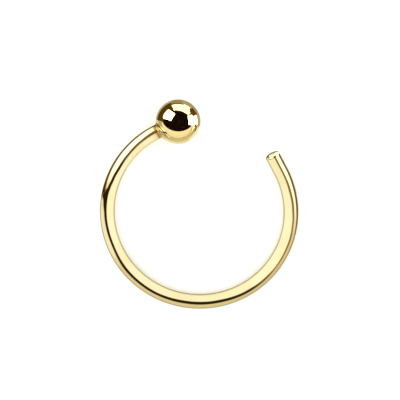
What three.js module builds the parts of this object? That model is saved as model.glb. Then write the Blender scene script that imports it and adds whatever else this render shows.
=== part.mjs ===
// Open nose hoop: a straight turned pin with a ball on one end, bent round a mandrel.
// It lies on its side as it rests by itself, on its ball and on the wire opposite, +Z up.
// The gap and the ball are towards +Y. The origin is the middle of its bounding box's base.
import * as THREE from 'three';

// Sizes in millimetres.
const INSIDE_D = 8.0; // the hoop's size, across its inside
const WIRE_D = 0.7;
const BALL_D = 2.1;
const TIP_LENGTH = 0.92; // straight wire before the bend starts
const EDGE_R = 0.12; // rounding round the cut end
const CUT_SLANT_DEG = 8; // the cut end leans this far towards the ring's upper side
const SLANT_RUN = 0.5; // length of wire over which that lean dies away
const FILLET_R = 0.12; // solder in the corner between the wire and the ball
const BALL_SET = 1.04; // from the end of the bend to the ball's centre

// Angles round the ring's own centre, anticlockwise from +X seen from above.
const BEND_START_DEG = 27.5 + 360; // where the straight tip ends
const BEND_END_DEG = 116; // where the wire runs straight on into the ball

// Fineness of the facets.
const ROUND_SEGMENTS = 24;
const BEND_SEGMENTS = 72;
const BALL_SEGMENTS = 16;
const CORNER_SEGMENTS = 4;

const rad = THREE.MathUtils.degToRad;
const wireR = WIRE_D / 2;
const ballR = BALL_D / 2;
const bendR = INSIDE_D / 2 + wireR;
const bendLength = bendR * rad(BEND_START_DEG - BEND_END_DEG);
const bendEnd = TIP_LENGTH + bendLength;
const ballAt = bendEnd + BALL_SET;

/** Points [radius, station] round an arc, the first one left out. */
function arc(centreR, centreS, r, fromDeg, toDeg, segments) {
  return Array.from({ length: segments }, (_, i) => {
    const a = rad(fromDeg + ((toDeg - fromDeg) * (i + 1)) / segments);
    return [centreR + r * Math.cos(a), centreS + r * Math.sin(a)];
  });
}

/** Half outline of the straight pin, from the middle of its cut end to the far side of its ball. */
function pinOutline() {
  const back = Math.sqrt((ballR + FILLET_R) ** 2 - (wireR + FILLET_R) ** 2);
  const filletAt = ballAt - back;
  const lean = THREE.MathUtils.radToDeg(Math.atan2(back, wireR + FILLET_R));

  const outline = [[0, 0], [wireR - EDGE_R, 0]];
  outline.push(...arc(wireR - EDGE_R, EDGE_R, EDGE_R, -90, 0, CORNER_SEGMENTS));
  outline.push([wireR, TIP_LENGTH / 2]);
  for (let i = 0; i < BEND_SEGMENTS; i++) {
    outline.push([wireR, TIP_LENGTH + (bendLength * i) / BEND_SEGMENTS]);
  }
  outline.push([wireR, filletAt]);
  outline.push(...arc(wireR + FILLET_R, filletAt, FILLET_R, 180, 180 - lean, CORNER_SEGMENTS));
  outline.push(...arc(0, ballAt, ballR, -lean, 90, BALL_SEGMENTS));
  outline[outline.length - 1][0] = 0;
  return outline.map(([r, s]) => new THREE.Vector2(r, s));
}

/** Where the wire's middle is at a station, with the directions along it and out from the ring. */
function wireAt(station) {
  const turned = THREE.MathUtils.clamp((station - TIP_LENGTH) / bendR, 0, bendLength / bendR);
  const angle = rad(BEND_START_DEG) - turned;
  const out = new THREE.Vector3(Math.cos(angle), Math.sin(angle), 0);
  const along = new THREE.Vector3(Math.sin(angle), -Math.cos(angle), 0);
  const straight = station - TIP_LENGTH - turned * bendR;
  return { middle: out.clone().multiplyScalar(bendR).addScaledVector(along, straight), along, out };
}

/** The pin as a solid of revolution, its cut end leaned over, bent into the open ring. */
function bentPin() {
  const pin = new THREE.LatheGeometry(pinOutline(), ROUND_SEGMENTS);
  const place = pin.attributes.position;
  const up = new THREE.Vector3(0, 0, 1);
  for (let i = 0; i < place.count; i++) {
    const across = place.getX(i);
    const lift = -place.getZ(i);
    const share = Math.max(0, 1 - place.getY(i) / SLANT_RUN);
    const station = place.getY(i) + lift * Math.tan(rad(CUT_SLANT_DEG)) * share;
    const { middle, out } = wireAt(station);
    middle.addScaledVector(out, across).addScaledVector(up, lift);
    place.setXYZ(i, middle.x, middle.y, middle.z);
  }
  return pin;
}

/** The ring's centre of mass in its own plane: bent wire, straight tip and ball. */
function centreOfMass() {
  const section = Math.PI * wireR ** 2;
  const ball = (4 / 3) * Math.PI * ballR ** 3;
  const [from, to] = [rad(BEND_END_DEG), rad(BEND_START_DEG)];
  const bend = new THREE.Vector3(Math.sin(to) - Math.sin(from), Math.cos(from) - Math.cos(to), 0);
  const sum = bend.multiplyScalar(section * bendR ** 2);
  sum.addScaledVector(wireAt(TIP_LENGTH / 2).middle, section * TIP_LENGTH);
  sum.addScaledVector(wireAt(ballAt).middle, ball);
  return sum.divideScalar(section * (TIP_LENGTH + bendLength) + ball);
}

/**
 * Turns the flat ring into its rest pose: propped up on its ball, with its weight over the line
 * from the ball to the lowest point of the wire.
 */
function restPose() {
  const ball = wireAt(ballAt).middle;
  const heading = centreOfMass().sub(ball).normalize();
  const half = ball.dot(heading);
  const reach = -half + Math.sqrt(half ** 2 + bendR ** 2 - ball.lengthSq());
  const low = ball.clone().addScaledVector(heading, reach).normalize();
  const tilt = Math.asin((ballR - wireR) / (bendR - ball.dot(low)));
  const hinge = new THREE.Vector3(0, 0, 1).cross(low);
  return new THREE.Matrix4().makeRotationAxis(hinge, tilt);
}

/** The finished ring, turned to its rest pose and stood on the origin. */
function noseRing() {
  const shape = bentPin().applyMatrix4(restPose());
  shape.computeBoundingBox();
  const { min, max } = shape.boundingBox;
  shape.translate(-(min.x + max.x) / 2, -(min.y + max.y) / 2, -min.z);
  shape.computeVertexNormals();
  const gold = new THREE.MeshStandardMaterial({ color: 0xe6c476, roughness: 0.12, metalness: 1 });
  const ring = new THREE.Mesh(shape, gold);
  ring.name = 'nose_ring';
  return ring;
}

const group = new THREE.Group();
group.name = 'nose_ring_part';
group.add(noseRing());

export default group;
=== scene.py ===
"""Studio scene for an open gold nose hoop with a ball soldered on one end, lying on its side.

The hoop is a straight turned pin with a ball on it, bent round a mandrel. A Geometry Nodes tree turns
the pin's outline and bends it; the finish follows the metal through the bend, because it reads where each
point was on the straight pin. Light boxes, floor cards and a paper tent that follows the wire make the
bright and dark lines that polished metal shows, and only reflections see them.
"""

import logging
import math
from dataclasses import astuple, dataclass, field
from enum import Enum

import bmesh
import bpy
from mathutils import Matrix, Vector


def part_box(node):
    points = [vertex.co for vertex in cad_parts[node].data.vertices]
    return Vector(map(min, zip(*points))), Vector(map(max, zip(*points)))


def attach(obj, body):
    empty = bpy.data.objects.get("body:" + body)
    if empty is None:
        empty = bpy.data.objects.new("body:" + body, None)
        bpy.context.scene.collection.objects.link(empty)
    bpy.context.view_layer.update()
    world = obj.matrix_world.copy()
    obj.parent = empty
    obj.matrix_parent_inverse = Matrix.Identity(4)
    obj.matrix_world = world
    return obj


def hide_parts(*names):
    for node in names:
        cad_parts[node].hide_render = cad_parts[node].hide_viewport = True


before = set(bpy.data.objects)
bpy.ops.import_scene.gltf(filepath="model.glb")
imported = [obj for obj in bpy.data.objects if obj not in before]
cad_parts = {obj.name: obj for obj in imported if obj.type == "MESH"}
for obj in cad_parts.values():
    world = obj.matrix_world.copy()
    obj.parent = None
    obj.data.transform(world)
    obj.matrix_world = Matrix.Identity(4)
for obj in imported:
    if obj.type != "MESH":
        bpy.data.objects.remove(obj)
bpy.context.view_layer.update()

MM = 0.001
PIECE = "gold_hoop"
NODE = "nose_ring"
PIN = "pin_mm"
GLOW = "glow"

# Where a Mix node that mixes colours has its sockets.
MIX_SHARE, MIX_FIRST, MIX_SECOND, MIX_RESULT = 0, 6, 7, 2

Rgb = tuple[float, float, float]
Rgba = tuple[float, float, float, float]
Direction = tuple[float, float, float]

log = logging.getLogger("nose_ring")


class SeenBy(Enum):
    """Which rays a studio object answers."""

    EYES_AND_LIGHT = "eyes and light"
    REFLECTIONS = "reflections"


class Span(Enum):
    """The stretches of the pin's outline, in order from the cut end, with how finely each is made."""

    FACE = 6
    EDGE = 10
    WIRE = 460
    SOLDER = 14
    BALL = 96

    @property
    def title(self) -> str:
        """Its name as the tree's inputs have it."""
        return self.name.title()


# ------------------------------------------------------------------ node trees


class Term:
    """A number inside a node tree, so that formulas can be written as formulas."""

    def __init__(self, wiring: "Wiring", socket: bpy.types.NodeSocket) -> None:
        """Holds one output socket and the tree it is in."""
        self.wiring = wiring
        self.socket = socket

    def _with(self, operation: str, first: object, second: object) -> "Term":
        """Joins two values by one math operation."""
        return self.wiring.math(operation, first, second)

    def __add__(self, other: object) -> "Term":
        """Sum."""
        return self._with("ADD", self, other)

    def __radd__(self, other: object) -> "Term":
        """Sum, number first."""
        return self._with("ADD", other, self)

    def __sub__(self, other: object) -> "Term":
        """Difference."""
        return self._with("SUBTRACT", self, other)

    def __rsub__(self, other: object) -> "Term":
        """Difference, number first."""
        return self._with("SUBTRACT", other, self)

    def __mul__(self, other: object) -> "Term":
        """Product."""
        return self._with("MULTIPLY", self, other)

    def __truediv__(self, other: object) -> "Term":
        """Quotient."""
        return self._with("DIVIDE", self, other)

    def sine(self) -> "Term":
        """Sine of an angle in radians."""
        return self.wiring.math("SINE", self)

    def cosine(self) -> "Term":
        """Cosine of an angle in radians."""
        return self.wiring.math("COSINE", self)

    def atleast(self, low: object) -> "Term":
        """The larger of this and low."""
        return self._with("MAXIMUM", self, low)

    def atmost(self, high: object) -> "Term":
        """The smaller of this and high."""
        return self._with("MINIMUM", self, high)

    def centred(self) -> "Term":
        """A pattern of 0 to 1, moved so that its middle is 0."""
        return self - 0.5


class Wiring:
    """Short ways to add and join the nodes of one tree."""

    def __init__(self, tree: bpy.types.NodeTree) -> None:
        """Works on the given tree."""
        self.tree = tree

    def add(self, kind: str, **settings: object) -> bpy.types.Node:
        """Adds a node.

        Args:
            kind: the node's type name.
            settings: properties to set on it.

        Returns:
            The new node.
        """
        node = self.tree.nodes.new(kind)
        for name, value in settings.items():
            setattr(node, name, value)
        return node

    def feed(self, socket: bpy.types.NodeSocket, value: object) -> None:
        """Gives an input its value.

        Args:
            socket: the input.
            value: a term or socket to link into it, or a plain value to set on it.
        """
        if isinstance(value, Term):
            value = value.socket
        if isinstance(value, bpy.types.NodeSocket):
            self.tree.links.new(value, socket)
        else:
            socket.default_value = value

    def math(self, operation: str, *values: object) -> Term:
        """One Math node.

        Args:
            operation: its operation.
            values: its inputs, in order.

        Returns:
            Its result.
        """
        node = self.add("ShaderNodeMath", operation=operation)
        for socket, value in zip(node.inputs, values):
            self.feed(socket, value)
        return Term(self, node.outputs[0])

    def spread(self, value: object, low: object, high: object, to_low: float = 0.0,
               to_high: float = 1.0) -> Term:
        """Maps a value from one range to another, easing in and out, held at both ends.

        Args:
            value: the number to map.
            low: where the range starts.
            high: where it ends.
            to_low: result at the start.
            to_high: result at the end.

        Returns:
            The mapped value.
        """
        node = self.add("ShaderNodeMapRange", interpolation_type="SMOOTHSTEP")
        for socket, number in zip(node.inputs, (value, low, high, to_low, to_high)):
            self.feed(socket, number)
        return Term(self, node.outputs[0])

    def vector(self, x: object, y: object, z: object) -> bpy.types.NodeSocket:
        """Joins numbers into a vector.

        Args:
            x: first number.
            y: second number.
            z: third number.

        Returns:
            The vector.
        """
        node = self.add("ShaderNodeCombineXYZ")
        for socket, value in zip(node.inputs, (x, y, z)):
            self.feed(socket, value)
        return node.outputs[0]

    def parts(self, vector: bpy.types.NodeSocket) -> tuple[Term, Term, Term]:
        """Splits a vector.

        Args:
            vector: the vector.

        Returns:
            Its three numbers.
        """
        node = self.add("ShaderNodeSeparateXYZ")
        self.feed(node.inputs[0], vector)
        return tuple(Term(self, s) for s in node.outputs[:3])

    def noise(self, at: bpy.types.NodeSocket, scale: float, detail: float, roughness: float = 0.5,
              distortion: float = 0.0) -> Term:
        """Fractal noise.

        Args:
            at: the place to read it at.
            scale: how fine it is.
            detail: how many finer layers it has.
            roughness: how strong the finer layers are.
            distortion: how far it is stirred.

        Returns:
            The noise, between 0 and 1.
        """
        node = self.add("ShaderNodeTexNoise")
        self.feed(node.inputs["Vector"], at)
        node.inputs["Scale"].default_value = scale
        node.inputs["Detail"].default_value = detail
        node.inputs["Roughness"].default_value = roughness
        node.inputs["Distortion"].default_value = distortion
        return Term(self, node.outputs[0])

    def blend(self, share: object, first: object, second: object) -> bpy.types.NodeSocket:
        """Mixes two colours.

        Args:
            share: how much of the second.
            first: one colour.
            second: the other.

        Returns:
            The mixed colour.
        """
        node = self.add("ShaderNodeMix", data_type="RGBA")
        self.feed(node.inputs[MIX_SHARE], share)
        self.feed(node.inputs[MIX_FIRST], first)
        self.feed(node.inputs[MIX_SECOND], second)
        return node.outputs[MIX_RESULT]


@dataclass(frozen=True)
class Fade:
    """How one value makes another: a range, and the range that it is mapped to, easing in and out."""

    low: float
    high: float
    to_low: float = 0.0
    to_high: float = 1.0

    def of(self, w: Wiring, value: Term, start: float = 0.0) -> Term:
        """Fades a value.

        Args:
            w: the tree's wiring.
            value: the value.
            start: where the range is counted from.

        Returns:
            The result.
        """
        return w.spread(value, start + self.low, start + self.high, self.to_low, self.to_high)


@dataclass(frozen=True)
class Grain:
    """A pattern in the metal, laid on the straight pin in mm and pulled out along its directions."""

    scale: float
    detail: float
    roughness: float = 0.5
    distortion: float = 0.0
    pull: tuple[float, float, float] = (1.0, 1.0, 1.0)
    skew: float = 0.0

    def lay(self, w: Wiring, across: Term, lift: Term, station: Term) -> Term:
        """Lays the pattern.

        Args:
            w: the material's wiring.
            across: place across the pin in the ring's plane.
            lift: place across the pin off that plane.
            station: place along the pin.

        Returns:
            The pattern, 0 to 1.
        """
        x, y, z = (axis * pull for axis, pull in zip((across, lift, station), self.pull))
        if self.skew:
            x = x + station * self.skew
        return w.noise(w.vector(x, y, z), self.scale, self.detail, self.roughness, self.distortion)


# ------------------------------------------------------------------ the hoop


@dataclass(frozen=True)
class HoopSizes:
    """The hoop's dimensions, in metres and radians."""

    inside: float = 8.0 * MM
    wire: float = 0.7 * MM
    ball: float = 2.1 * MM
    tip: float = 0.92 * MM
    edge: float = 0.12 * MM
    lean: float = math.radians(8)
    lean_run: float = 0.5 * MM
    solder: float = 0.12 * MM
    ball_set: float = 1.04 * MM
    bend_start: float = math.radians(27.5 + 360)
    bend_end: float = math.radians(116)

    @property
    def wire_r(self) -> float:
        """Radius of the wire."""
        return self.wire / 2

    @property
    def ball_r(self) -> float:
        """Radius of the ball."""
        return self.ball / 2

    @property
    def bend_r(self) -> float:
        """Radius that the wire's middle is bent to."""
        return self.inside / 2 + self.wire_r

    @property
    def bend_angle(self) -> float:
        """Angle that the wire is bent through."""
        return self.bend_start - self.bend_end

    @property
    def ball_at(self) -> float:
        """Station of the ball's centre along the straight pin."""
        return self.tip + self.bend_r * self.bend_angle + self.ball_set

    @property
    def solder_back(self) -> float:
        """How far before the ball's centre the solder starts."""
        return math.sqrt((self.ball_r + self.solder) ** 2 - (self.wire_r + self.solder) ** 2)

    @property
    def solder_lean(self) -> float:
        """Angle that the solder's hollow curve turns through."""
        return math.atan2(self.solder_back, self.wire_r + self.solder)

    def lengths(self) -> dict[Span, float]:
        """Measures the outline.

        Returns:
            The length of each of its stretches.
        """
        return {
            Span.FACE: self.wire_r - self.edge,
            Span.EDGE: self.edge * math.pi / 2,
            Span.WIRE: self.ball_at - self.solder_back - self.edge,
            Span.SOLDER: self.solder * self.solder_lean,
            Span.BALL: self.ball_r * (math.pi / 2 + self.solder_lean),
        }

    def turned_at(self, station: float) -> float:
        """Angle that the wire has been bent through by a station."""
        return min(max((station - self.tip) / self.bend_r, 0.0), self.bend_angle)

    def middle_at(self, station: float) -> Vector:
        """Where the wire's middle is, in the ring's own plane.

        Args:
            station: distance along the pin from its cut end.

        Returns:
            The point, from the ring's centre.
        """
        angle = self.bend_start - self.turned_at(station)
        along = Vector((math.sin(angle), -math.cos(angle), 0))
        straight = station - self.tip - self.turned_at(station) * self.bend_r
        return self.out_at(station) * self.bend_r + along * straight

    def out_at(self, station: float) -> Vector:
        """Direction away from the ring's centre, square to the wire, at a station."""
        angle = self.bend_start - self.turned_at(station)
        return Vector((math.cos(angle), math.sin(angle), 0))

    def centre_of_mass(self) -> Vector:
        """Weighs tip, bend and ball together.

        Returns:
            Their centre of mass, in the ring's own plane.
        """
        section = math.pi * self.wire_r**2
        ball = 4 / 3 * math.pi * self.ball_r**3
        first, last = self.bend_end, self.bend_start
        moment = Vector((math.sin(last) - math.sin(first), math.cos(first) - math.cos(last), 0))
        moment *= section * self.bend_r**2
        moment += self.middle_at(self.tip / 2) * section * self.tip
        moment += self.middle_at(self.ball_at) * ball
        return moment / (section * (self.tip + self.bend_r * self.bend_angle) + ball)

    def rest_turn(self) -> Matrix:
        """Lays the flat ring on its ball and on the wire opposite, its weight between.

        Returns:
            The turn that does it.
        """
        ball = self.middle_at(self.ball_at)
        heading = (self.centre_of_mass() - ball).normalized()
        half = ball.dot(heading)
        reach = -half + math.sqrt(half**2 + self.bend_r**2 - ball.length_squared)
        low = (ball + heading * reach).normalized()
        tilt = math.asin((self.ball_r - self.wire_r) / (self.bend_r - ball.dot(low)))
        return Matrix.Rotation(tilt, 4, Vector((0, 0, 1)).cross(low))


@dataclass(frozen=True)
class PlatedGold:
    """Polished pale gold plating over drawn steel wire, with a duller collar of solder at the ball,
    darkened there with painted shade.
    """

    sizes: HoopSizes
    body: Rgba = (1.0, 0.80, 0.36, 1)
    warm: Rgba = (0.98, 0.76, 0.31, 1)
    pale: Rgba = (1.0, 0.84, 0.42, 1)
    # solder: the collar's colour, darker and browner than the gold; solder tone and painted shade where
    # the wire meets the ball.
    solder: Rgba = (0.62, 0.41, 0.12, 1)
    solder_share: float = 0.75
    polish: float = 0.045

    # Lines from drawing the wire run along it; the ball has short polishing hairs instead.
    drawn: Grain = Grain(26.0, 4.0, 0.62, pull=(1.0, 1.0, 0.035))
    hairs: Grain = Grain(30.0, 3.0, 0.6, 0.7, pull=(1.0, 0.12, 1.0), skew=0.4)
    wear: Grain = Grain(2.2, 3.0, 0.55, pull=(0.5, 0.5, 0.35))
    shear: Grain = Grain(4.0, 2.0, pull=(14.0, 1.2, 1.0))
    pits: Grain = Grain(17.0, 4.0, 0.6)
    patches: Grain = Grain(5.0, 3.0)

    # Where each area starts and stops, in mm from the solder's ends, or from the cut face.
    solder_in: Fade = Fade(-0.16, -0.02)
    solder_out: Fade = Fade(0.05, 0.16, 1.0, 0.0)
    ball_in: Fade = Fade(0.0, 0.05)
    face_out: Fade = Fade(0.03, 0.13, 1.0, 0.0)

    # What each pattern does to the colour and the roughness.
    solder_patches: Fade = Fade(0.3, 0.55, 0.55, 1.0)
    warm_wear: Fade = Fade(0.36, 0.66)
    pale_lines: Fade = Fade(0.52, 0.78, 0.0, 0.45)
    pale_shear: Fade = Fade(0.4, 0.7, 0.1, 0.5)
    rough_lines: Fade = Fade(0.45, 0.75, 0.0, 0.06)
    rough_hairs: Fade = Fade(0.56, 0.7, 0.0, 0.035)
    rough_pits: Fade = Fade(0.35, 0.65, 0.08, 0.24)
    rough_shear: Fade = Fade(0.35, 0.65, 0.02, 0.10)

    # How deep each pattern is, as a multiple of the relief.
    relief: float = 0.0009 * MM
    line_depth: float = 0.9
    hair_depth: float = 0.25
    pit_depth: float = 2.5
    shear_depth: float = 0.6
    wear_depth: float = 2.0

    def make(self) -> bpy.types.Material:
        """Builds the material.

        Returns:
            A material that reads the straight pin's coordinates.
        """
        material = bpy.data.materials.new("plated_gold")
        material.use_nodes = True
        w = Wiring(material.node_tree)
        shader = next(n for n in material.node_tree.nodes if n.type == "BSDF_PRINCIPLED")
        pin = w.parts(w.add("ShaderNodeAttribute", attribute_name=PIN).outputs["Vector"])
        station = pin[2]

        solder_at = (self.sizes.ball_at - self.sizes.solder_back) / MM
        solder_end = (self.sizes.ball_at - self.sizes.ball_r * math.sin(self.sizes.solder_lean)) / MM
        solder_and_shade = self.solder_in.of(w, station, solder_at) * self.solder_out.of(w, station, solder_end)
        solder_and_shade = solder_and_shade * self.solder_patches.of(w, self.patches.lay(w, *pin))
        on_ball = self.ball_in.of(w, station, solder_end)
        off_ball = 1.0 - on_ball
        cut = self.face_out.of(w, station)
        drawn, hairs, wear, shear, pits = (
            grain.lay(w, *pin) for grain in (self.drawn, self.hairs, self.wear, self.shear, self.pits))

        tone = w.blend(self.warm_wear.of(w, wear), self.body, self.warm)
        tone = w.blend(self.pale_lines.of(w, drawn), tone, self.pale)
        # Painted shade: the solder collar at the joint of wire and ball is darkened with the solder
        # colour.
        tone = w.blend(solder_and_shade * self.solder_share, tone, self.solder)
        tone = w.blend(cut * self.pale_shear.of(w, shear), tone, self.pale)
        w.feed(shader.inputs["Base Color"], tone)

        rough = self.polish + self.rough_lines.of(w, drawn) * off_ball
        rough = rough + self.rough_hairs.of(w, hairs) * on_ball
        rough = rough + self.rough_pits.of(w, pits) * solder_and_shade
        rough = rough + self.rough_shear.of(w, shear) * cut
        w.feed(shader.inputs["Roughness"], rough)
        shader.inputs["Metallic"].default_value = 1.0

        height = drawn.centred() * off_ball * self.line_depth * (1.0 - solder_and_shade)
        height = height + hairs.centred() * on_ball * self.hair_depth
        height = height + pits.centred() * solder_and_shade * self.pit_depth
        height = height + shear.centred() * cut * self.shear_depth
        height = height + wear.centred() * off_ball * self.wear_depth
        bump = w.add("ShaderNodeBump")
        bump.inputs["Strength"].default_value = 1.0
        bump.inputs["Distance"].default_value = self.relief
        w.feed(bump.inputs["Height"], height)
        w.feed(shader.inputs["Normal"], bump.outputs[0])
        return material


@dataclass
class BentPin:
    """The hoop: wire, cut end, ball and solder as one solid of revolution bent into an open ring."""

    sizes: HoopSizes = field(default_factory=HoopSizes)
    around: int = 64
    solder_lumps: float = 0.010 * MM
    lump_scale: float = 1.7
    lump_middle: float = 0.35
    lumps_in: tuple[float, float] = (-0.12 * MM, 0.02 * MM)
    lumps_out: tuple[float, float] = (0.22 * MM, 0.06 * MM)
    seed: float = 4.0
    weld: float = 1e-8
    centre: Vector = field(init=False, default_factory=Vector)

    def _inputs(self, tree: bpy.types.NodeTree, gold: bpy.types.Material) -> dict[str, object]:
        """Args:
            tree: the geometry tree.
            gold: the finish.

        Returns:
            The value for each input's identifier.
        """
        s = self.sizes
        wanted = {
            "Wire Radius": s.wire_r, "Ball Radius": s.ball_r, "Bend Radius": s.bend_r,
            "Bend Start": s.bend_start, "Bend Angle": s.bend_angle, "Tip Length": s.tip,
            "Edge Radius": s.edge, "Cut Slope": math.tan(s.lean), "Lean Run": s.lean_run,
            "Solder Radius": s.solder, "Solder Start": s.ball_at - s.solder_back,
            "Solder Turn": s.solder_lean, "Solder Lumps": self.solder_lumps, "Seed": self.seed,
            **{f"{span.title} Length": length for span, length in s.lengths().items()},
        }
        values = {}
        for name, value in wanted.items():
            socket = tree.interface.new_socket(name, in_out="INPUT", socket_type="NodeSocketFloat")
            values[socket.identifier] = float(value)
        counts = {"Around": self.around, **{f"{span.title} Rows": span.value for span in Span}}
        for name, value in counts.items():
            socket = tree.interface.new_socket(name, in_out="INPUT", socket_type="NodeSocketInt")
            values[socket.identifier] = value
        socket = tree.interface.new_socket("Gold", in_out="INPUT", socket_type="NodeSocketMaterial")
        values[socket.identifier] = gold
        tree.interface.new_socket("Geometry", in_out="OUTPUT", socket_type="NodeSocketGeometry")
        return values

    def _strips(self, w: Wiring, given: dict[str, Term]) -> bpy.types.NodeSocket:
        """One flat strip for each stretch of the outline: x along the outline, y the angle round it.

        Args:
            w: the tree's wiring.
            given: the tree's inputs by name.

        Returns:
            The joined strips.
        """
        # Each grid is 1 by 1 about its own middle, so half is added before it is stretched.
        joined = w.add("GeometryNodeJoinGeometry")
        start: object = 0.0
        for span in Span:
            grid = w.add("GeometryNodeMeshGrid")
            grid.inputs["Size X"].default_value = 1.0
            grid.inputs["Size Y"].default_value = 1.0
            w.feed(grid.inputs["Vertices X"], given[f"{span.title} Rows"] + 1)
            w.feed(grid.inputs["Vertices Y"], given["Around"] + 1)
            x, y, _ = w.parts(w.add("GeometryNodeInputPosition").outputs[0])
            along = (x + 0.5) * given[f"{span.title} Length"] + start
            put = w.add("GeometryNodeSetPosition")
            w.feed(put.inputs["Geometry"], grid.outputs["Mesh"])
            w.feed(put.inputs["Position"], w.vector(along, (y + 0.5) * -math.tau, 0.0))
            w.feed(joined.inputs[0], put.outputs[0])
            start = given[f"{span.title} Length"] + start
        return joined.outputs[0]

    def _outline(self, w: Wiring, given: dict[str, Term], run: Term, turn: Term) -> tuple[Term, Term]:
        """Follows the outline: out along the face, round the edge, up the wire, the solder and the ball.

        Args:
            w: the tree's wiring.
            given: the tree's inputs by name.
            run: distance along the outline.
            turn: angle round the pin.

        Returns:
            The radius and the station there.
        """
        done: dict[Span, Term] = {}
        start: object = 0.0
        for span in Span:
            length = given[f"{span.title} Length"]
            done[span] = (run - start).atleast(0.0).atmost(length)
            start = length + start
        edge, solder, ball = given["Edge Radius"], given["Solder Radius"], given["Ball Radius"]
        edge_turn = done[Span.EDGE] / edge
        solder_turn = done[Span.SOLDER] / solder
        first = math.pi / 2 - given["Solder Turn"]
        ball_turn = first + done[Span.BALL] / ball

        radius = done[Span.FACE] + edge * edge_turn.sine() + solder * (1 - solder_turn.cosine())
        radius = radius + ball * (ball_turn.sine() - first.sine())
        station = edge * (1 - edge_turn.cosine()) + done[Span.WIRE] + solder * solder_turn.sine()
        station = station + ball * (first.cosine() - ball_turn.cosine())

        # The solder is not quite even round the wire.
        lumps = w.add("ShaderNodeTexNoise", noise_dimensions="4D")
        w.feed(lumps.inputs["Vector"], w.vector(turn.cosine(), turn.sine(), station * (1 / MM)))
        w.feed(lumps.inputs["W"], given["Seed"])
        lumps.inputs["Scale"].default_value = self.lump_scale
        rise, fall = (
            w.spread(station, *(given["Solder Start"] + end for end in ends))
            for ends in (self.lumps_in, self.lumps_out))
        uneven = (Term(w, lumps.outputs[0]) - self.lump_middle) * given["Solder Lumps"]
        radius = radius + uneven * (rise * fall)
        return radius, station

    def _bend(self, w: Wiring, given: dict[str, Term], across: Term, lift: Term,
              station: Term) -> bpy.types.NodeSocket:
        """Leans the cut end over and bends the straight pin round the mandrel.

        Args:
            w: the tree's wiring.
            given: the tree's inputs by name.
            across: distance out from the pin's middle, away from the ring's centre.
            lift: distance from the pin's middle, off the ring's plane.
            station: distance along the pin.

        Returns:
            The place in the bent ring, from the ring's centre.
        """
        share = (1 - station / given["Lean Run"]).atleast(0.0)
        station = station + lift * given["Cut Slope"] * share
        turned = (station - given["Tip Length"]) / given["Bend Radius"]
        turned = turned.atleast(0.0).atmost(given["Bend Angle"])
        angle = given["Bend Start"] - turned
        straight = station - given["Tip Length"] - turned * given["Bend Radius"]
        out = given["Bend Radius"] + across
        x = angle.cosine() * out + angle.sine() * straight
        y = angle.sine() * out - angle.cosine() * straight
        return w.vector(x, y, lift)

    def _tree(self, gold: bpy.types.Material) -> tuple[bpy.types.NodeTree, dict[str, object]]:
        """Builds the whole geometry tree.

        Args:
            gold: the finish.

        Returns:
            The tree and the value for each of its inputs' identifiers.
        """
        tree = bpy.data.node_groups.new("ball_ended_hoop", "GeometryNodeTree")
        values = self._inputs(tree, gold)
        w = Wiring(tree)
        source = w.add("NodeGroupInput")
        given = {s.name: Term(w, s) for s in source.outputs if s.name}
        strips = self._strips(w, given)

        run, turn, _ = w.parts(w.add("GeometryNodeInputPosition").outputs[0])
        radius, station = self._outline(w, given, run, turn)
        across, lift = radius * turn.cosine(), radius * turn.sine()

        # What the bend needs is kept on the points first, because the places change under it.
        kept = w.add("GeometryNodeStoreNamedAttribute", data_type="FLOAT_VECTOR", domain="POINT")
        kept.inputs["Name"].default_value = PIN
        w.feed(kept.inputs["Geometry"], strips)
        w.feed(kept.inputs["Value"], w.vector(across / MM, lift / MM, station / MM))
        bent = w.add("GeometryNodeSetPosition")
        w.feed(bent.inputs["Geometry"], kept.outputs[0])
        w.feed(bent.inputs["Position"], self._bend(w, given, across, lift, station))

        welded = w.add("GeometryNodeMergeByDistance")
        welded.inputs["Distance"].default_value = self.weld
        smooth = w.add("GeometryNodeSetShadeSmooth")
        real = w.add("GeometryNodeRealizeInstances")
        dressed = w.add("GeometryNodeSetMaterial")
        chain = [bent, welded, smooth, real, dressed, w.add("NodeGroupOutput")]
        for before, after in zip(chain, chain[1:]):
            w.feed(after.inputs[0], before.outputs[0])
        w.feed(dressed.inputs["Material"], source.outputs["Gold"])
        return tree, values

    def make(self) -> bpy.types.Object:
        """Grows the hoop, turns it to its rest pose and sets it where the frame says.

        Returns:
            The finished piece, its place in its mesh.
        """
        gold = PlatedGold(self.sizes).make()
        tree, values = self._tree(gold)
        seed_mesh = bpy.data.meshes.new(PIECE)
        piece = bpy.data.objects.new(PIECE, seed_mesh)
        bpy.context.scene.collection.objects.link(piece)
        modifier = piece.modifiers.new("bend", "NODES")
        modifier.node_group = tree
        for identifier, value in values.items():
            modifier[identifier] = value
        seen = bpy.context.evaluated_depsgraph_get()
        grown = bpy.data.meshes.new_from_object(piece.evaluated_get(seen), depsgraph=seen)
        piece.modifiers.remove(modifier)
        piece.data = grown
        grown.name = PIECE
        bpy.data.meshes.remove(seed_mesh)
        grown.transform(self.sizes.rest_turn())
        self.centre = self._settle(grown)
        return piece

    @staticmethod
    def _settle(mesh: bpy.types.Mesh) -> Vector:
        """Moves the mesh to the middle of the frame's box, on its base.

        Args:
            mesh: the ring, about its own centre.

        Returns:
            Where the ring's centre went.
        """
        low, high = (Vector(p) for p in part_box(NODE))
        places = [v.co for v in mesh.vertices]
        mine = [(min(p[i] for p in places), max(p[i] for p in places)) for i in range(3)]
        move = Vector(((low.x + high.x) / 2 - sum(mine[0]) / 2, (low.y + high.y) / 2 - sum(mine[1]) / 2,
                       low.z - mine[2][0]))
        mesh.transform(Matrix.Translation(move))
        return move


# ------------------------------------------------------------------ the studio


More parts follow.
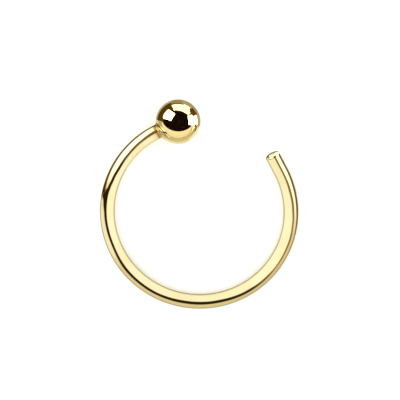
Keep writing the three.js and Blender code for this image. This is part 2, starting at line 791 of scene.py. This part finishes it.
@dataclass(frozen=True)
class Viewpoint:
    """A long lens over the ring, tipped from the ring's own axis towards the gap."""

    tip: float = math.radians(12.4)
    hinge: float = math.radians(-6.9)
    lens_mm: float = 200.0
    sensor_mm: float = 36.0
    width: float = 18.954 * MM
    aside: float = 0.046 * MM
    above: float = 0.594 * MM
    clip_near: float = 0.02
    clip_far: float = 40.0

    def axes(self, turn: Matrix) -> Matrix:
        """The camera's right, up and back directions.

        Args:
            turn: the ring's rest turn.

        Returns:
            A rotation with those directions as columns.
        """
        across = Matrix.Rotation(self.hinge, 3, "Z")
        tipped = across @ Matrix.Rotation(-self.tip, 3, "X") @ across.transposed()
        return turn.to_3x3() @ tipped

    def place(self, centre: Vector, turn: Matrix) -> None:
        """Makes the scene's camera.

        Args:
            centre: the ring's centre.
            turn: the ring's rest turn.
        """
        axes = self.axes(turn)
        right, up, back = (axes.col[i] for i in range(3))
        data = bpy.data.cameras.new("camera")
        data.lens = self.lens_mm
        data.sensor_width = self.sensor_mm
        camera = bpy.data.objects.new("camera", data)
        bpy.context.scene.collection.objects.link(camera)
        distance = self.width * self.lens_mm / self.sensor_mm
        data.clip_start = distance * self.clip_near
        data.clip_end = distance * self.clip_far
        aim = centre + right * self.aside + up * self.above
        camera.matrix_world = Matrix.Translation(aim + back * distance) @ axes.to_4x4()
        bpy.context.scene.camera = camera


def glow() -> bpy.types.Material:
    """A glowing finish for the front of a studio card, as bright as its points say. Its back is clear.

    Returns:
        The material.
    """
    material = bpy.data.materials.get("glow")
    if material:
        return material
    material = bpy.data.materials.new("glow")
    material.use_nodes = True
    w = Wiring(material.node_tree)
    material.node_tree.nodes.clear()
    light = w.add("ShaderNodeEmission")
    w.feed(light.inputs["Color"], w.add("ShaderNodeAttribute", attribute_name=GLOW).outputs["Color"])
    sides = w.add("ShaderNodeMixShader")
    w.feed(sides.inputs[0], w.add("ShaderNodeNewGeometry").outputs["Backfacing"])
    w.feed(sides.inputs[1], light.outputs[0])
    w.feed(sides.inputs[2], w.add("ShaderNodeBsdfTransparent").outputs[0])
    w.feed(w.add("ShaderNodeOutputMaterial").inputs["Surface"], sides.outputs[0])
    return material


def show_to(thing: bpy.types.Object, seen_by: SeenBy) -> None:
    """Sets which rays see a studio object.

    Args:
        thing: the object.
        seen_by: the rays that see it.
    """
    if seen_by is SeenBy.REFLECTIONS:
        for kind in ("camera", "diffuse", "transmission", "volume_scatter", "shadow"):
            setattr(thing, f"visible_{kind}", False)
    else:
        thing.visible_glossy = False


def put_card(name: str, rows: list[list[Vector]], faces_to: list[Vector], glows: list[list[Rgb]]) -> None:
    """Puts up a flat or curved card that only reflections see.

    Args:
        name: its name.
        rows: rows of points; each pair of rows is joined by a ribbon of faces.
        faces_to: for each column of points, a place that the card's front faces.
        glows: red, green and blue at each point, 1 being white paper.
    """
    mesh = bpy.data.meshes.new(name)
    n = len(rows[0])
    quads = []
    for r in range(len(rows) - 1):
        for i in range(n - 1):
            near, far = rows[r], rows[r + 1]
            normal = (near[i + 1] - far[i]).cross(far[i + 1] - near[i])
            middle = (near[i] + near[i + 1] + far[i] + far[i + 1]) / 4
            quad = (r * n + i, r * n + i + 1, (r + 1) * n + i + 1, (r + 1) * n + i)
            quads.append(quad if normal.dot(faces_to[i] - middle) > 0 else quad[::-1])
    mesh.from_pydata([p for row in rows for p in row], [], quads)
    glow_at = mesh.attributes.new(GLOW, "FLOAT_COLOR", "POINT")
    glow_at.data.foreach_set("color", [v for row in glows for rgb in row for v in (*rgb, 1.0)])
    mesh.materials.append(glow())
    card = bpy.data.objects.new(name, mesh)
    bpy.context.scene.collection.objects.link(card)
    show_to(card, SeenBy.REFLECTIONS)


@dataclass(frozen=True)
class Softbox:
    """A far rectangular light that shows as a bright window in the ball and the wire.

    Width and height are shares of its distance. Foot is the brightness of its lower edge beside its top's.
    """

    name: str
    towards: Direction
    upright: Direction
    width: float
    height: float
    strength: float
    colour: Rgb = (1.0, 0.99, 0.96)
    foot: float = 1.0
    distance: float = 90 * MM

    def hang(self, centre: Vector, axes: Matrix) -> None:
        """Hangs the box round the work.

        Args:
            centre: what it faces.
            axes: right, up and back directions that its own directions are given in.
        """
        back = (axes @ Vector(self.towards)).normalized()
        side = (axes @ Vector(self.upright)).cross(back).normalized()
        rise = back.cross(side)
        middle = centre + back * self.distance
        rows = [[middle + (side * x * self.width + rise * y * self.height) * self.distance / 2
                 for x in (-1, 1)] for y in (-1, 1)]
        glows = [[tuple(c * self.strength * share for c in self.colour)] * 2 for share in (self.foot, 1.0)]
        put_card(self.name, rows, [centre] * 2, glows)


@dataclass(frozen=True)
class Stop:
    """One place round the ring, in degrees, with the tent's three edges and four brightnesses there.

    Edges are where the slit starts and ends and where the outer paper ends, as seen in the wire: shares of
    the wire's radius, outwards from its middle. Brightness is that of the paper inside the slit, the slit,
    the paper outside it and the rim.
    """

    angle: float
    line_from: float
    line_to: float
    top: float
    inner: float
    line: float
    outer: float
    rim: float

    def eased(self, other: "Stop", t: float) -> "Stop":
        """A stop between this one and another.

        Args:
            other: the next stop.
            t: how far towards it, 0 to 1.

        Returns:
            The stop there.
        """
        t = t * t * (3 - 2 * t)
        pairs = zip(astuple(self), astuple(other))
        return Stop(*(a * (1 - t) + b * t for a, b in pairs))


@dataclass(frozen=True)
class Tent:
    """A paper tent that follows the wire: bright inside the ring, a dark slit, bright or dim outside it.

    The slit shows on the wire as the dark line all the way round. Dim paper is warm and bright paper cool.
    Each point of the tent stands where the view from the camera goes after it meets the wire.
    """

    stops: tuple[Stop, ...] = (
        Stop(115, -0.10, 0.27, 0.80, 0.14, 0.12, 0.13, 0.12),
        Stop(116.4, -0.10, 0.27, 0.80, 0.30, 0.14, 0.16, 0.14),
        Stop(117.6, -0.10, 0.27, 0.80, 1.10, 0.20, 1.60, 0.20),
        Stop(120, -0.10, 0.25, 0.79, 1.34, 0.22, 2.20, 0.22),
        Stop(128, -0.12, 0.17, 0.76, 1.36, 0.20, 2.40, 0.20),
        Stop(140, -0.18, 0.10, 0.74, 1.40, 0.14, 2.50, 0.18),
        Stop(149, -0.23, 0.09, 0.72, 1.46, 0.03, 2.20, 0.16),
        Stop(158, -0.13, 0.19, 0.70, 1.50, 0.02, 1.60, 0.13),
        Stop(163, -0.02, 0.32, 0.64, 1.50, 0.02, 1.20, 0.08),
        Stop(166.5, 0.05, 0.55, 0.57, 1.50, 0.02, 0.30, 0.03),
        Stop(168.5, 0.08, 0.84, 0.88, 1.50, 0.02, 0.50, 0.10),
        Stop(173, 0.08, 0.56, 0.90, 1.50, 0.02, 1.05, 0.40),
        Stop(180, 0.08, 0.39, 0.90, 1.50, 0.02, 1.20, 0.45),
        Stop(200, 0.01, 0.29, 0.88, 1.46, 0.02, 1.28, 0.45),
        Stop(219, 0.14, 0.46, 0.88, 1.44, 0.02, 0.90, 0.42),
        Stop(240, 0.16, 0.46, 0.88, 1.42, 0.02, 0.88, 0.42),
        Stop(262, 0.05, 0.41, 0.88, 1.40, 0.02, 0.84, 0.42),
        Stop(280, 0.06, 0.42, 0.88, 1.42, 0.02, 0.84, 0.42),
        Stop(302, 0.22, 0.52, 0.88, 1.46, 0.03, 0.78, 0.40),
        Stop(314, 0.30, 0.52, 0.88, 1.50, 0.15, 0.74, 0.38),
        Stop(325, 0.34, 0.50, 0.87, 1.50, 0.34, 0.75, 0.36),
        Stop(345, 0.33, 0.52, 0.83, 1.48, 0.28, 0.90, 0.30),
        Stop(355, 0.25, 0.46, 0.77, 1.48, 0.36, 1.15, 0.20),
        Stop(364, 0.16, 0.41, 0.72, 1.44, 0.26, 1.60, 0.16),
        Stop(376, 0.07, 0.33, 0.70, 1.38, 0.26, 2.00, 0.18),
        Stop(387, 0.05, 0.27, 0.72, 1.34, 0.26, 2.30, 0.20),
        Stop(401, 0.05, 0.27, 0.73, 1.34, 0.26, 2.20, 0.20),
    )
    dim: Rgb = (1.0, 0.60, 0.10)
    middling: Rgb = (0.87, 0.88, 0.87)
    bright: Rgb = (0.71, 0.80, 1.06)
    warms: tuple[float, float] = (0.15, 0.65)
    cools: tuple[float, float] = (0.8, 1.4)
    bottom: float = -0.86
    bottom_share: float = 0.4
    end: float = 0.985
    soft: float = 0.06
    hard: float = 0.02
    distance: float = 1.1 * MM
    close: float = 0.10 * MM
    ball_at: float = 114.0
    widening: float = 40.0
    step: float = 1.25

    def _paper(self, level: float) -> Rgb:
        """Colours the paper.

        Args:
            level: how bright it is.

        Returns:
            Its glow.
        """
        warm, cool = (min(1.0, max(0.0, (level - low) / (high - low)))
                      for low, high in (self.warms, self.cools))
        base = [a * (1 - warm) + b * warm for a, b in zip(self.dim, self.middling)]
        return tuple((a * (1 - cool) + b * cool) * level for a, b in zip(base, self.bright))

    def _at(self, angle: float) -> Stop:
        """Reads the tent between its stops.

        Args:
            angle: where round the ring, in degrees.

        Returns:
            The stop there.
        """
        for a, b in zip(self.stops, self.stops[1:]):
            if angle <= b.angle:
                return a.eased(b, (angle - a.angle) / (b.angle - a.angle))
        return self.stops[-1]

    def _profile(self, s: Stop) -> list[tuple[float, float]]:
        """Lays out the tent across the wire.

        Args:
            s: the stop there.

        Returns:
            Places across the wire, each with how bright the tent is for it.
        """
        half = (s.line_to + s.top) / 2
        return [
            (self.bottom, s.inner * self.bottom_share), (self.bottom + self.soft, s.inner),
            (s.line_from - self.soft, s.inner), (s.line_from + self.hard, s.line),
            (s.line_to - self.hard, s.line), (min(s.line_to + self.soft, half), s.outer),
            (max(s.top - self.soft, half), s.outer), (s.top + self.hard, s.rim), (self.end, s.rim),
        ]

    def _mirrored(self, sizes: HoopSizes, angle: float, share: float,
                  back: Vector) -> tuple[Vector, Vector]:
        """Where the camera's view goes after it meets the wire.

        Args:
            sizes: the hoop's dimensions.
            angle: where round the ring, in degrees.
            share: how far out across the wire, as a share of its radius.
            back: direction from the ring to the camera, in the ring's own frame.

        Returns:
            The place on the tent and the wire's middle there, both in the ring's own frame.
        """
        station = sizes.tip + (sizes.bend_start - math.radians(angle)) * sizes.bend_r
        middle, out = sizes.middle_at(station), sizes.out_at(station)
        slope = math.asin(max(-1.0, min(1.0, share))) + math.atan2(back.dot(out), back.z)
        normal = out * math.sin(slope) + Vector((0, 0, math.cos(slope)))
        away = normal * (2 * normal.dot(back)) - back
        clear = min(1.0, max(0.0, (angle - self.ball_at) / self.widening))
        distance = self.close + (self.distance - self.close) * clear
        return middle + normal * sizes.wire_r + away * distance, middle

    def pitch(self, sizes: HoopSizes, place: Matrix, back: Vector) -> None:
        """Bends and hangs the tent.

        Args:
            sizes: the hoop's dimensions.
            place: the ring's place in the frame.
            back: direction from the ring to the camera, in the ring's own frame.
        """
        first, last = self.stops[0].angle, self.stops[-1].angle
        count = round((last - first) / self.step)
        angles = [first + (last - first) * i / count for i in range(count + 1)]
        profiles = [self._profile(self._at(angle)) for angle in angles]
        rows, glows, middles = [], [], []
        for r in range(len(profiles[0])):
            points = [self._mirrored(sizes, angle, p[r][0], back) for angle, p in zip(angles, profiles)]
            rows.append([place @ p for p, _ in points])
            glows.append([self._paper(p[r][1]) for p in profiles])
            middles = [place @ m for _, m in points]
        put_card("tent", rows, middles, glows)


@dataclass(frozen=True)
class FloorCard:
    """A card lying on the floor: part of a ring between two angles and two distances from a middle.

    Angles are in degrees, anticlockwise from +X, and level is its height.
    """

    name: str
    start: float
    end: float
    near: float
    far: float
    colour: Rgb
    strength: float
    level: float = 0.001 * MM
    facet: float = 3.0

    def lay(self, middle: Vector) -> None:
        """Lays the card.

        Args:
            middle: what its angles and distances are measured from.
        """
        steps = max(2, int((self.end - self.start) / self.facet))
        angles = [math.radians(self.start + (self.end - self.start) * i / steps) for i in range(steps + 1)]
        ways = [Vector((math.cos(a), math.sin(a), 0)) for a in angles]
        foot = Vector((middle.x, middle.y, self.level))
        rows = [[foot + way * r for way in ways] for r in (self.near, self.far)]
        above = middle + Vector((0, 0, 1))
        lit = tuple(c * self.strength for c in self.colour)
        put_card(self.name, rows, [above] * (steps + 1), [[lit] * (steps + 1)] * 2)


@dataclass(frozen=True)
class PaleFloor:
    """A round pale board under the work, with a slight fleck in it."""

    radius: float = 0.9
    facets: int = 96
    tone: Rgba = (0.90, 0.90, 0.895, 1)
    fleck: Rgba = (0.87, 0.87, 0.865, 1)
    fleck_scale: float = 900.0
    fleck_detail: float = 4.0
    fleck_share: Fade = Fade(0.3, 0.7, 0.0, 0.25)
    roughness: float = 0.9
    specular: float = 0.1

    def lay(self) -> None:
        """Lays the floor."""
        mesh = bpy.data.meshes.new("floor")
        work = bmesh.new()
        bmesh.ops.create_circle(work, cap_ends=True, segments=self.facets, radius=self.radius)
        work.to_mesh(mesh)
        work.free()
        floor = bpy.data.objects.new("floor", mesh)
        bpy.context.scene.collection.objects.link(floor)
        material = bpy.data.materials.new("pale_board")
        material.use_nodes = True
        w = Wiring(material.node_tree)
        shader = next(n for n in material.node_tree.nodes if n.type == "BSDF_PRINCIPLED")
        place = w.add("ShaderNodeTexCoord").outputs["Object"]
        grain = w.noise(place, self.fleck_scale, self.fleck_detail)
        w.feed(shader.inputs["Base Color"], w.blend(self.fleck_share.of(w, grain), self.tone, self.fleck))
        shader.inputs["Roughness"].default_value = self.roughness
        shader.inputs["Specular IOR Level"].default_value = self.specular
        mesh.materials.append(material)
        show_to(floor, SeenBy.EYES_AND_LIGHT)


@dataclass(frozen=True)
class Surroundings:
    """The walls: pale to the eye and for lighting, dark to reflections so that the cards tell."""

    pale: Rgba = (1.55, 1.55, 1.545, 1)
    dark: Rgba = (0.006, 0.0018, 0.0002, 1)
    dark_low: Rgba = (0.09, 0.055, 0.012, 1)
    low: Fade = Fade(0.0, 0.30, 1.0, 0.0)

    def put_up(self) -> None:
        """Makes the scene's world."""
        world = bpy.data.worlds.new("studio")
        bpy.context.scene.world = world
        world.use_nodes = True
        w = Wiring(world.node_tree)
        world.node_tree.nodes.clear()
        glossy = Term(w, w.add("ShaderNodeLightPath").outputs["Is Glossy Ray"])
        _, _, height = w.parts(w.add("ShaderNodeTexCoord").outputs["Generated"])
        dark = w.blend(self.low.of(w, height), self.dark, self.dark_low)
        light = w.add("ShaderNodeBackground")
        w.feed(light.inputs["Color"], w.blend(glossy, self.pale, dark))
        w.feed(w.add("ShaderNodeOutputWorld").inputs["Surface"], light.outputs[0])


@dataclass(frozen=True)
class KeyLight:
    """One broad soft light from above, for a faint shadow on the floor."""

    width: float = 0.16
    energy: float = 0.006
    offset: Direction = (-0.06, 0.05, 0.16)

    def hang(self, centre: Vector) -> None:
        """Hangs the light, turned to the ring.

        Args:
            centre: the ring's centre.
        """
        data = bpy.data.lights.new("key", "AREA")
        data.shape = "DISK"
        data.size = self.width
        data.energy = self.energy
        key = bpy.data.objects.new("key", data)
        bpy.context.scene.collection.objects.link(key)
        key.location = centre + Vector(self.offset)
        key.rotation_mode = "QUATERNION"
        key.rotation_quaternion = (key.location - centre).to_track_quat("Z", "Y")
        key.visible_camera = False
        key.visible_glossy = False


@dataclass(frozen=True)
class Studio:
    """Pale floor, pale surroundings, and the lights and cards round the work."""

    floor: PaleFloor = PaleFloor()
    surroundings: Surroundings = Surroundings()
    key: KeyLight = KeyLight()
    boxes: tuple[Softbox, ...] = (
        Softbox("left_box", (-0.713, 0.53, 0.49), (0.50, -0.2, 0.97), 0.74, 1.00, 4.2),
        Softbox("right_box", (0.93, 0.15, 0.22), (-0.22, 0.0, 0.93), 0.76, 0.80, 4.0),
        Softbox("far_box", (0.285, 0.925, 0.24), (-0.06, -0.20, 0.96), 1.42, 0.64, 2.4,
                (0.92, 0.93, 1.0)),
        Softbox("front_board", (-0.16, -0.96, 0.24), (-0.04, 0.24, 0.97), 12.0, 0.92, 1.06,
                (1.0, 1.0, 0.97), 0.80),
    )
    ball_cards: tuple[FloorCard, ...] = (
        FloorCard("right_sheet", -10, 20, 3.3 * MM, 90 * MM, (0.90, 0.92, 1.0), 2.7),
        FloorCard("right_skirt", -20, 20, 0.2 * MM, 3.3 * MM, (0.88, 0.85, 0.80), 0.52),
        FloorCard("right_rim", 20, 44, 0.2 * MM, 2.5 * MM, (0.95, 0.90, 0.75), 0.42),
        FloorCard("right_gap", 20, 44, 2.5 * MM, 90 * MM, (1.0, 0.6, 0.2), 0.10),
        FloorCard("far_sheet", 48, 72, 3.9 * MM, 90 * MM, (0.92, 0.93, 1.0), 2.2),
        FloorCard("far_skirt", 44, 80, 0.2 * MM, 3.9 * MM, (0.85, 0.85, 0.70), 0.46),
        FloorCard("far_sheet_left", 72, 112, 5.4 * MM, 90 * MM, (0.92, 0.93, 1.0), 2.2),
        FloorCard("far_edge", 80, 112, 3.6 * MM, 5.4 * MM, (1.0, 0.6, 0.15), 0.12),
        FloorCard("far_glow", 80, 112, 0.2 * MM, 3.6 * MM, (1.0, 0.78, 0.5), 0.36),
        FloorCard("left_dark", 112, 178, 2.3 * MM, 90 * MM, (1.0, 0.65, 0.15), 0.08),
        FloorCard("left_rim", 112, 178, 0.2 * MM, 2.3 * MM, (0.95, 0.92, 0.72), 0.50),
        FloorCard("left_sheet", 178, 200, 3.4 * MM, 90 * MM, (1.0, 0.92, 0.80), 0.50),
        FloorCard("near_rim", 178, 345, 0.2 * MM, 1.9 * MM, (0.9, 0.96, 1.0), 0.98),
        FloorCard("near_sheet", 178, 300, 1.9 * MM, 3.4 * MM, (1.0, 0.98, 0.90), 0.86),
        FloorCard("near_right_sheet", 300, 345, 1.9 * MM, 3.6 * MM, (1.0, 0.98, 0.90), 1.05),
    )
    ring_cards: tuple[FloorCard, ...] = (
        FloorCard("inside_sheet", 0, 360, 0.0, 3.5 * MM, (0.95, 0.97, 0.90), 0.68, 0.0),
        FloorCard("under_wire", 0, 360, 3.5 * MM, 5.1 * MM, (0.90, 1.0, 0.95), 0.46, 0.0),
        FloorCard("outside_sheet", 168, 345, 5.1 * MM, 90 * MM, (0.90, 0.95, 0.95), 0.48, 0.0),
    )
    tip_cards: tuple[FloorCard, ...] = (
        FloorCard("tip_chip", 0, 360, 0.0, 0.555 * MM, (1.0, 0.68, 0.2), 0.16, 0.003 * MM),
        FloorCard("tip_right_chip", 15, 98, 0.555 * MM, 1.0 * MM, (1.0, 0.66, 0.2), 0.10, 0.003 * MM),
        FloorCard("tip_sheet", 98, 137, 0.555 * MM, 1.2 * MM, (0.80, 1.0, 1.1), 1.75, 0.003 * MM),
        FloorCard("tip_left_chip", 137, 215, 0.555 * MM, 1.5 * MM, (1.0, 0.66, 0.2), 0.16, 0.003 * MM),
    )
    tent: Tent = Tent()

    def build(self, sizes: HoopSizes, centre: Vector, turn: Matrix, axes: Matrix) -> None:
        """Builds the studio round the ring.

        Args:
            sizes: the hoop's dimensions.
            centre: the ring's centre.
            turn: the ring's rest turn.
            axes: the camera's right, up and back directions.
        """
        self.floor.lay()
        self.surroundings.put_up()
        self.key.hang(centre)
        for box in self.boxes:
            box.hang(centre, axes)
        place = Matrix.Translation(centre) @ turn
        ball, tip = (place @ sizes.middle_at(station) for station in (sizes.ball_at, 0.0))
        for cards, middle in ((self.ball_cards, ball), (self.ring_cards, centre), (self.tip_cards, tip)):
            for card in cards:
                card.lay(middle)
        self.tent.pitch(sizes, place, (turn.to_3x3().transposed() @ axes.col[2]).normalized())
        bpy.context.scene.view_settings.view_transform = "Standard"


def main() -> None:
    """Builds the hoop, its studio and the camera, and reports each piece."""
    logging.basicConfig(level=logging.INFO, format="%(name)s: %(message)s")
    hoop = BentPin()
    piece = hoop.make()
    turn = hoop.sizes.rest_turn()
    log.info("%s: %d points, %d faces", piece.name, len(piece.data.vertices), len(piece.data.polygons))
    view = Viewpoint()
    view.place(hoop.centre, turn)
    Studio().build(hoop.sizes, hoop.centre, turn, view.axes(turn))
    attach(piece, "root")
    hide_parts(NODE)


if __name__ == "__main__":
    main()
